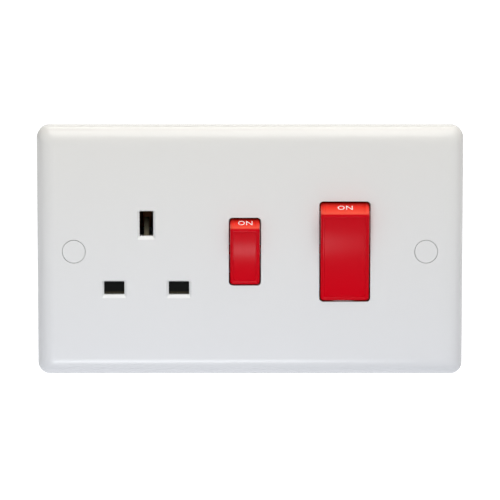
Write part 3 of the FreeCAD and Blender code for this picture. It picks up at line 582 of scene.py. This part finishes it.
def islands(node: str) -> list[tuple[Vector, Vector]]:
    """Finds the separate solids of a node.

    Args:
        node: the node's name.

    Returns:
        The lowest and highest corner of each solid, in order of place.
    """
    shape = bmesh.new()
    shape.from_mesh(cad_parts[node].data)
    bmesh.ops.remove_doubles(shape, verts=shape.verts[:], dist=SEAM_REACH)
    left = set(shape.verts)
    boxes = []
    while left:
        reached = [left.pop()]
        for vert in reached:
            near = {edge.other_vert(vert) for edge in vert.link_edges} & left
            left -= near
            reached.extend(near)
        places = [vert.co for vert in reached]
        low = Vector(min(place[axis] for place in places) for axis in range(3))
        high = Vector(max(place[axis] for place in places) for axis in range(3))
        boxes.append((low, high))
    shape.free()
    return sorted(boxes, key=lambda box: [round(value / MM, 2) for value in box[0]])


def lathe(profile: Profile, segments: int) -> bmesh.types.BMesh:
    """Turns a profile about +Z into a closed mesh.

    Args:
        profile: radius and level of each point, from the axis and back to it.
        segments: sides of the round.

    Returns:
        The turned mesh.
    """
    shape = bmesh.new()
    rings = []
    for radius, level in profile:
        turns = range(segments) if radius > 0 else range(1)
        angles = [2 * math.pi * turn / segments for turn in turns]
        rings.append([shape.verts.new((radius * math.cos(a), radius * math.sin(a), level)) for a in angles])
    for lower, upper in zip(rings, rings[1:]):
        for turn in range(segments):
            after = (turn + 1) % segments
            corners = [lower[turn % len(lower)], lower[after % len(lower)]]
            corners += [upper[after % len(upper)], upper[turn % len(upper)]]
            shape.faces.new(list(dict.fromkeys(corners)))
    return shape


def gather(whole: bmesh.types.BMesh, one: bmesh.types.BMesh) -> None:
    """Moves a mesh into another.

    Args:
        whole: the mesh that takes it.
        one: the mesh to move, which is used up.
    """
    mesh = bpy.data.meshes.new("one")
    one.to_mesh(mesh)
    one.free()
    whole.from_mesh(mesh)
    bpy.data.meshes.remove(mesh)


def carved(body: bmesh.types.BMesh, cutters: list[Matrix]) -> bmesh.types.BMesh:
    """Cuts unit cubes, placed by matrices, out of a mesh.

    Args:
        body: the mesh to cut.
        cutters: place and size of each cut.

    Returns:
        The cut mesh.
    """
    blank = bpy.data.objects.new("blank", bpy.data.meshes.new("blank"))
    body.to_mesh(blank.data)
    body.free()
    bpy.context.scene.collection.objects.link(blank)
    tools = []
    for matrix in cutters:
        cube = bmesh.new()
        bmesh.ops.create_cube(cube, size=1.0, matrix=matrix)
        tool = bpy.data.objects.new("tool", bpy.data.meshes.new("tool"))
        cube.to_mesh(tool.data)
        cube.free()
        bpy.context.scene.collection.objects.link(tool)
        cut = blank.modifiers.new("cut", "BOOLEAN")
        cut.operation = "DIFFERENCE"
        cut.solver = "EXACT"
        cut.object = tool
        tools.append(tool)
    graph = bpy.context.evaluated_depsgraph_get()
    mesh = bpy.data.meshes.new_from_object(blank.evaluated_get(graph))
    shape = bmesh.new()
    shape.from_mesh(mesh)
    for scrap in [blank, *tools]:
        bpy.data.objects.remove(scrap, do_unlink=True)
    bpy.data.meshes.remove(mesh)
    return shape


@dataclass
class Coil:
    """A compression spring with closed ends, drawn as round wire. Sizes in millimetres."""

    node: str
    body: Body
    joint: str
    start: Vector
    axis: Vector
    length: float
    radius: float
    wire: float
    turns: float
    keep: float
    steps: int = 24
    sides: int = 8
    closed: float = 0.8
    ease: float = 0.35
    rise: float = 0.3

    def level(self, turn: float) -> float:
        """Gives the wire's height at a turn, flat at both ends.

        Args:
            turn: turns from the start.

        Returns:
            The height of the wire's middle.
        """
        open_turns = self.turns - 2 * self.closed
        share = min(max((turn - self.closed) / open_turns, 0.0), 1.0)
        eased = share * share * (3 - 2 * share) * self.ease + share * (1 - self.ease)
        lift = self.wire * self.rise
        low = self.wire + lift * min(turn / self.closed, 1.0)
        rest = self.length - 2 * self.wire - 2 * lift
        late = lift * max((turn - self.turns + self.closed) / self.closed, 0.0)
        return low + rest * eased + late

    def wound(self) -> bmesh.types.BMesh:
        """Winds the wire.

        Returns:
            The spring's mesh in the row frame.
        """
        turned = self.axis.to_track_quat("Z", "X").to_matrix().to_4x4()
        place = Matrix.Translation(self.start * MM) @ turned @ Matrix.Scale(MM, 4)
        shape = bmesh.new()
        count = round(self.turns * self.steps)
        rings = []
        for step in range(count + 1):
            turn = self.turns * step / count
            angle = 2 * math.pi * turn
            ring = []
            for side in range(self.sides):
                tilt = 2 * math.pi * side / self.sides
                reach = self.radius + self.wire / 2 * math.cos(tilt)
                height = self.level(turn) + self.wire / 2 * math.sin(tilt)
                middle = Vector((reach * math.cos(angle), reach * math.sin(angle), height))
                ring.append(shape.verts.new(place @ middle))
            rings.append(ring)
        for lower, upper in zip(rings, rings[1:]):
            for side in range(self.sides):
                after = (side + 1) % self.sides
                shape.faces.new((lower[side], lower[after], upper[after], upper[side])).smooth = True
        shape.faces.new(rings[0])
        shape.faces.new(rings[-1])
        return shape

    def build(self) -> bpy.types.Object:
        """Makes the spring in place of its solid.

        Returns:
            The spring.
        """
        made = SHOP.piece(self.node + "_wire", self.wound(), SPRING, self.body)
        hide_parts(self.node)
        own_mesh(made)
        return made


@dataclass
class Screw:
    """A turned screw with a driver recess and thread.

    Sizes are in millimetres along its shank from the head's top. The dome's curve, the recess's reach, the thread and
    the tip are shares of the head, the pitch and the thread's root.
    """

    head_r: float
    head: float
    shank_r: float
    neck_r: float
    neck: float
    length: float
    pitch: float
    facing: Facing
    drive: Drive = Drive.SLOT
    slot_width: float = 0.9
    slot_depth: float = 1.0
    dome: float = 0.35
    pointed: float = 0.6
    dome_curve: tuple[tuple[float, float], ...] = ((0.0, 0.0), (0.55, 0.18), (0.85, 0.6), (1.0, 1.0))
    ridge: tuple[float, ...] = (0.1, 0.45, 0.55, 0.9)
    thread_depth: float = 0.45
    tip: float = 0.6
    slot_reach: float = 2.4
    cross_reach: float = 1.3
    recess_angle: float = 37.0
    turn_between: float = 1.1

    def head_profile(self) -> Profile:
        """Outline of a head with a domed top, or of a headless end.

        Returns:
            The outline's points from the axis to the neck.
        """
        top = [(self.head_r * out, self.dome * down) for out, down in self.dome_curve]
        return top + [(self.head_r, self.head)]

    def thread_profile(self) -> Profile:
        """Ridges of the thread and the tip.

        Returns:
            The outline's points from the neck to the axis.
        """
        start = self.head + self.neck
        root = self.shank_r - self.thread_depth * self.pitch
        count = int((self.length - start - self.pointed) / self.pitch)
        points = [(self.neck_r, self.head), (self.neck_r, start)] if self.neck > 0 else []
        for ridge in range(count):
            level = start + ridge * self.pitch
            foot, rise, fall, back = (level + share * self.pitch for share in self.ridge)
            points += [(root, foot), (self.shank_r, rise), (self.shank_r, fall), (root, back)]
        end = self.length
        return points + [(root, end - self.pointed), (root * self.tip, end), (0.0, end)]

    def turned(self, segments: int) -> bmesh.types.BMesh:
        """Turns the screw and cuts its recess, with the head's top at the origin.

        Args:
            segments: sides of the round.

        Returns:
            The screw in millimetres, its shank along +Z.
        """
        blank = lathe(self.head_profile() + self.thread_profile(), segments)
        bmesh.ops.recalc_face_normals(blank, faces=blank.faces[:])
        span = self.head_r * (self.slot_reach if self.drive is Drive.SLOT else self.cross_reach)
        cuts = []
        for turn in range(self.drive.value):
            size = Matrix.Diagonal((span, self.slot_width, 2 * self.slot_depth, 1.0))
            cuts.append(Matrix.Rotation(math.radians(self.recess_angle + 90 * turn), 4, "Z") @ size)
        return carved(blank, cuts)

    def build(self, name: str, node: str, segments: int = 28) -> bpy.types.Object:
        """Makes one screw for each solid of a node and stands them in its place.

        Args:
            name: the new piece's name.
            node: the node whose solids they replace.
            segments: sides of the round.

        Returns:
            The piece with all the screws.
        """
        whole = bmesh.new()
        for count, (low, high) in enumerate(islands(node)):
            middle = (low + high) / 2
            front = low.y if self.facing is Facing.FRONT else high.y
            spin = Matrix.Rotation(self.turn_between * count, 4, "Z")
            lay = Matrix.Rotation(math.radians(-90 * self.facing.value), 4, "X")
            place = Matrix.Translation((middle.x, front, middle.z)) @ lay @ Matrix.Scale(MM, 4) @ spin
            one = self.turned(segments)
            bmesh.ops.transform(one, matrix=place, verts=one.verts[:])
            gather(whole, one)
        made = SHOP.piece(name, whole, ZINC, Body.UNIT)
        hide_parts(node)
        return made


@dataclass
class Word:
    """Plain capitals, sized and laid on a solid. Sizes in millimetres, letters' ends as shares of the width."""

    text: str
    name: str
    node: str
    body: Body
    ink: Ink
    centre: Vector
    width: float
    height: float
    aim: Vector
    spans: tuple[tuple[float, float], ...]
    lift: float = 0.03
    reach: float = 20.0
    longest: float = 0.05

    def letter(self, sign: str) -> bmesh.types.BMesh:
        """Cuts one letter, one unit wide and high about the origin.

        Args:
            sign: the letter.

        Returns:
            The letter as a thin plate in x and y.
        """
        curve = bpy.data.curves.new(self.name, "FONT")
        curve.body = sign
        curve.extrude = 0.01
        curve.resolution_u = 8
        holder = bpy.data.objects.new(self.name, curve)
        bpy.context.scene.collection.objects.link(holder)
        graph = bpy.context.evaluated_depsgraph_get()
        mesh = bpy.data.meshes.new_from_object(holder.evaluated_get(graph))
        shape = bmesh.new()
        shape.from_mesh(mesh)
        bpy.data.objects.remove(holder, do_unlink=True)
        bpy.data.meshes.remove(mesh)
        bmesh.ops.remove_doubles(shape, verts=shape.verts[:], dist=1e-6)
        low = Vector(min(vert.co[axis] for vert in shape.verts) for axis in range(3))
        high = Vector(max(vert.co[axis] for vert in shape.verts) for axis in range(3))
        size = high - low
        for vert in shape.verts:
            offset = vert.co - (low + high) / 2
            vert.co = Vector(offset[axis] / size[axis] for axis in range(3))
        return shape

    def flat(self) -> bmesh.types.BMesh:
        """Sets the letters side by side, one unit wide and high about the origin.

        Returns:
            The word as a thin plate in x and y.
        """
        whole = bmesh.new()
        for sign, (left, right) in zip(self.text, self.spans):
            one = self.letter(sign)
            size = Matrix.Diagonal((right - left, 1.0, 1.0, 1.0))
            place = Matrix.Translation(((left + right - 1) / 2, 0.0, 0.0)) @ size
            bmesh.ops.transform(one, matrix=place, verts=one.verts[:])
            gather(whole, one)
        return whole

    def build(self) -> bpy.types.Object:
        """Presses the letters on the solid along the aim.

        Returns:
            The lettering.
        """
        aim = self.aim.normalized()
        up = Vector((0.0, -aim.z, aim.y))
        tree = BVHTree.FromObject(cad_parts[self.node], bpy.context.evaluated_depsgraph_get())
        shape = self.flat()
        coarse = [edge for edge in shape.edges if edge.calc_length() > self.longest]
        bmesh.ops.subdivide_edges(shape, edges=coarse, cuts=2)
        bmesh.ops.triangulate(shape, faces=shape.faces[:])
        for vert in shape.verts:
            across = Vector((self.width * vert.co.x, 0.0, 0.0)) + up * self.height * vert.co.y
            source = (self.centre + across - aim * self.reach) * MM
            hit, normal, _, _ = tree.ray_cast(source, aim)
            level = self.lift if vert.co.z > 0 else -self.lift
            vert.co = hit + normal * level * MM
        return SHOP.piece(self.name, shape, self.ink, self.body)


@dataclass
class FrontPlate:
    """The white plate with its screw caps."""

    edge: float = 0.12
    caps: tuple[str, ...] = ("screw_cap_left", "screw_cap_right")

    def build(self) -> None:
        """Dresses the plate and caps."""
        soften(SHOP.dress("front_plate", WHITE), self.edge)
        for cap in self.caps:
            soften(SHOP.dress(cap, WHITE), self.edge)


@dataclass
class RockerSwitch:
    """A red rocker with its plungers, springs and contacts. Sizes in millimetres about its pivot."""

    name: str
    body: Body
    red: Graded
    poles: tuple[str, ...]
    pole_places: tuple[float, ...]
    pivot: Vector
    swing: float
    blind_end: float
    word_centre: Vector
    word_width: float
    word_height: float
    word_spans: tuple[tuple[float, float], ...] = ((0.0, 0.46), (0.56, 1.0))
    spring_length: float = 6.0
    spring_travel: float = 1.0
    spring_radius: float = 1.45
    spring_wire: float = 0.5
    spring_turns: float = 5.2
    contact_edge: float = 0.1
    flag_slope: float = 35.0

    def plunger_axis(self) -> Vector:
        """Direction from a spring's blind end to its plunger."""
        return Vector((0.0, math.cos(math.radians(self.swing)), math.sin(math.radians(self.swing))))

    def build(self) -> None:
        """Dresses the rocker, its contacts and springs, and marks its flag."""
        SHOP.dress(self.name, self.red)
        keep = 1 - self.spring_travel / self.spring_length
        for pole, place in zip(self.poles, self.pole_places):
            SHOP.dress(pole + "_plunger", PLUNGER)
            soften(SHOP.dress(pole + "_moving_contact", COPPER), self.contact_edge)
            SHOP.dress(pole + "_moving_tip", SILVER)
            SHOP.dress(pole + "_fixed_tip", SILVER)
            axis = self.plunger_axis()
            start = self.pivot + Vector((place, 0.0, 0.0)) + axis * self.blind_end
            Coil(
                pole + "_spring", self.body, pole + "_press", start, axis,
                self.spring_length, self.spring_radius, self.spring_wire, self.spring_turns, keep,
            ).build()
        slope = math.radians(self.flag_slope)
        aim = Vector((0.0, math.cos(slope), -math.sin(slope)))
        Word(
            "ON", self.name + "_word", self.name, self.body, WHITE_INK, self.word_centre,
            self.word_width, self.word_height, aim, self.word_spans,
        ).build()


@dataclass
class Outlet:
    """The three-pin outlet behind the plate: shutter, carrier, spring and clips."""

    clips: tuple[str, ...] = ("live_pin_contact", "neutral_pin_contact", "earth_pin_contact")
    links: tuple[str, ...] = ("live_link", "neutral_link")
    spring_foot: Vector = field(default_factory=lambda: Vector((-35.45, -5.6, -26.2)))
    spring_length: float = 10.6
    spring_radius: float = 0.85
    spring_wire: float = 0.4
    spring_turns: float = 7.0
    travel: float = 6.0
    shutter_edge: float = 0.1
    carrier_edge: float = 0.12

    def build(self) -> None:
        """Dresses the outlet's pieces and winds the shutter's spring."""
        soften(SHOP.dress("shutter", SHUTTER), self.shutter_edge)
        soften(SHOP.dress("shutter_carrier", CARRIER), self.carrier_edge)
        for strip in self.clips + self.links:
            SHOP.dress(strip, COPPER)
        Coil(
            "shutter_spring", Body.UNIT, "shutter_slide", self.spring_foot, Vector((0.0, 0.0, 1.0)),
            self.spring_length, self.spring_radius, self.spring_wire, self.spring_turns,
            1 - self.travel / self.spring_length,
        ).build()


@dataclass
class RearHousing:
    """The housing behind the plate with its terminals and every screw."""

    blocks: tuple[str, ...] = (
        "supply_live_terminal", "supply_neutral_terminal", "load_live_terminal", "load_neutral_terminal",
        "earth_terminal",
    )
    housing_edge: float = 0.25
    terminal_edge: float = 0.2

    def build(self) -> None:
        """Dresses the housing and terminals and drives the screws."""
        soften(SHOP.dress("rear_housing", HOUSING), self.housing_edge)
        for block in self.blocks:
            soften(SHOP.dress(block, BRASS), self.terminal_edge)
        fixing = Screw(
            head_r=3.3, head=2.0, shank_r=1.75, neck_r=1.5, neck=4.3, length=22.1, pitch=0.6, facing=Facing.FRONT,
        )
        fixing.build("fixing_screw_pair", "fixing_screws")
        holding = Screw(
            head_r=2.7, head=1.5, shank_r=1.4, neck_r=1.05, neck=0.4, length=6.5, pitch=0.9, facing=Facing.BACK,
            drive=Drive.CROSS, slot_width=0.75, slot_depth=0.9, dome=0.5, pointed=1.2,
        )
        holding.build("housing_screw_set", "housing_screws")
        grub = Screw(
            head_r=2.2, head=0.5, shank_r=2.2, neck_r=2.2, neck=0.0, length=6.2, pitch=0.8, facing=Facing.BACK,
            slot_depth=1.1, dome=0.25, pointed=0.7,
        )
        grub.build("terminal_screw_set", "terminal_screws")
        grub.build("earth_screw_set", "earth_screws")


@dataclass
class Lamp:
    """One soft lamp of the studio."""

    name: str
    place: Vector
    target: Vector
    size: tuple[float, float]
    power: float
    colour: Colour = (1.0, 1.0, 1.0)

    def build(self) -> None:
        """Hangs the lamp and turns it to its target."""
        light = bpy.data.lights.new(self.name, "AREA")
        light.shape = "RECTANGLE"
        light.size, light.size_y = self.size
        light.energy = self.power
        light.color = self.colour
        lamp = bpy.data.objects.new(self.name, light)
        lamp.location = self.place
        lamp.rotation_euler = (self.target - self.place).to_track_quat("-Z", "Y").to_euler()
        lamp.visible_camera = False
        bpy.context.scene.collection.objects.link(lamp)


@dataclass
class Studio:
    """Pale floor, soft light and the photographer's camera."""

    floor_z: float = -0.25
    floor_reach: float = 30.0
    floor_tones: tuple[Colour, Colour] = ((0.56, 0.575, 0.61), (0.6, 0.615, 0.65))
    floor_rough: tuple[float, float] = (0.75, 0.85)
    glow_ends: tuple[float, float] = (-0.2, 0.85)
    glow: tuple[float, float] = (0.08, 1.05)
    back_ends: tuple[float, float] = (0.7, 0.97)
    back_glow: tuple[float, float] = (0.06, 1.0)
    distance: float = 1.3
    elevation: float = 7.5
    view_width: float = 0.1717
    aim: Vector = field(default_factory=lambda: Vector((0.0, -0.005, 0.0)))

    def floor(self) -> None:
        """Lays the floor."""
        shape = bmesh.new()
        bmesh.ops.create_grid(shape, x_segments=4, y_segments=4, size=self.floor_reach)
        bmesh.ops.translate(shape, verts=shape.verts[:], vec=(0.0, 0.0, self.floor_z))
        mesh = bpy.data.meshes.new("floor")
        shape.to_mesh(mesh)
        shape.free()
        shader = Shader("floor_finish")
        grain = shader.noise(3.0, 2.0)
        shader.feed("Base Color", shader.mottled(grain, *self.floor_tones))
        shader.feed("Roughness", shader.range(grain, *self.floor_rough))
        shader.hold("Specular IOR Level", 0.1)
        shader.surface.inputs["Emission Color"].default_value = (1.0, 1.0, 1.0, 1.0)
        shader.feed("Emission Strength", shader.along("Y", self.glow_ends, self.glow))
        mesh.materials.append(shader.material)
        laid = bpy.data.objects.new("floor", mesh)
        bpy.context.scene.collection.objects.link(laid)

    def light(self) -> None:
        """Sets the even light of the room and the lamps."""
        world = bpy.data.worlds.new("room")
        world.use_nodes = True
        nodes = world.node_tree.nodes
        links = world.node_tree.links
        nodes["Background"].inputs["Color"].default_value = (1.0, 1.0, 1.0, 1.0)
        split = nodes.new("ShaderNodeSeparateXYZ")
        links.new(nodes.new("ShaderNodeTexCoord").outputs["Generated"], split.inputs["Vector"])
        paling = nodes.new("ShaderNodeMapRange")
        set_range(paling, self.back_ends, self.back_glow)
        links.new(split.outputs["Y"], paling.inputs["Value"])
        links.new(paling.outputs["Result"], nodes["Background"].inputs["Strength"])
        bpy.context.scene.world = world
        for lamp in (
            Lamp("overhead", Vector((0.18, -0.68, 1.32)), self.aim, (1.6, 1.3), 22.5, (1.0, 0.985, 0.96)),
            Lamp("top_back", Vector((0.08, 0.42, 1.26)), self.aim, (0.9, 0.6), 6.0, (1.0, 0.98, 0.95)),
            Lamp("left_fill", Vector((-1.3, -0.9, 0.25)), self.aim, (0.8, 0.8), 2.1, (0.96, 0.98, 1.0)),
            Lamp("right_fill", Vector((1.3, -0.9, 0.25)), self.aim, (0.8, 0.8), 2.1, (0.97, 0.985, 1.0)),
            Lamp("low_card", Vector((-0.065, -0.342, -0.206)), self.aim, (0.21, 0.042), 0.46, (0.94, 0.97, 1.0)),
        ):
            lamp.build()

    def camera(self) -> None:
        """Stands the camera where the photograph was taken from."""
        data = bpy.data.cameras.new("camera")
        data.sensor_width = 36.0
        data.lens = data.sensor_width * self.distance / self.view_width
        data.clip_end = 100.0
        tilt = math.radians(self.elevation)
        back = Vector((0.0, -math.cos(tilt), math.sin(tilt)))
        made = bpy.data.objects.new("camera", data)
        made.location = self.aim + back * self.distance
        made.rotation_euler = (-back).to_track_quat("-Z", "Y").to_euler()
        bpy.context.scene.collection.objects.link(made)
        bpy.context.scene.camera = made

    def build(self) -> None:
        """Sets up the floor, light, camera and plain colours."""
        self.floor()
        self.light()
        self.camera()
        bpy.context.scene.view_settings.view_transform = "Standard"


def main() -> None:
    """Builds each sub-assembly in order."""
    logging.basicConfig(level=logging.INFO, format="%(message)s")
    FrontPlate().build()
    RockerSwitch(
        name="cooker_rocker", body=Body.COOKER_ROCKER, red=COOKER_RED,
        poles=("cooker_live", "cooker_neutral"), pole_places=(-5.4, 5.4),
        pivot=Vector((32.45, -2.6, 0.0)), swing=9.0, blind_end=-4.05,
        word_centre=Vector((32.5, -11.7, 15.6)), word_width=5.1, word_height=1.95,
    ).build()
    RockerSwitch(
        name="socket_rocker", body=Body.SOCKET_ROCKER, red=SOCKET_RED,
        poles=("socket",), pole_places=(0.0,),
        pivot=Vector((-1.75, -3.85, 0.0)), swing=10.0, blind_end=-2.8,
        word_centre=Vector((-1.6, -11.0, 10.35)), word_width=4.9, word_height=2.0,
    ).build()
    Outlet().build()
    RearHousing().build()
    Studio().build()


if __name__ == "__main__":
    main()
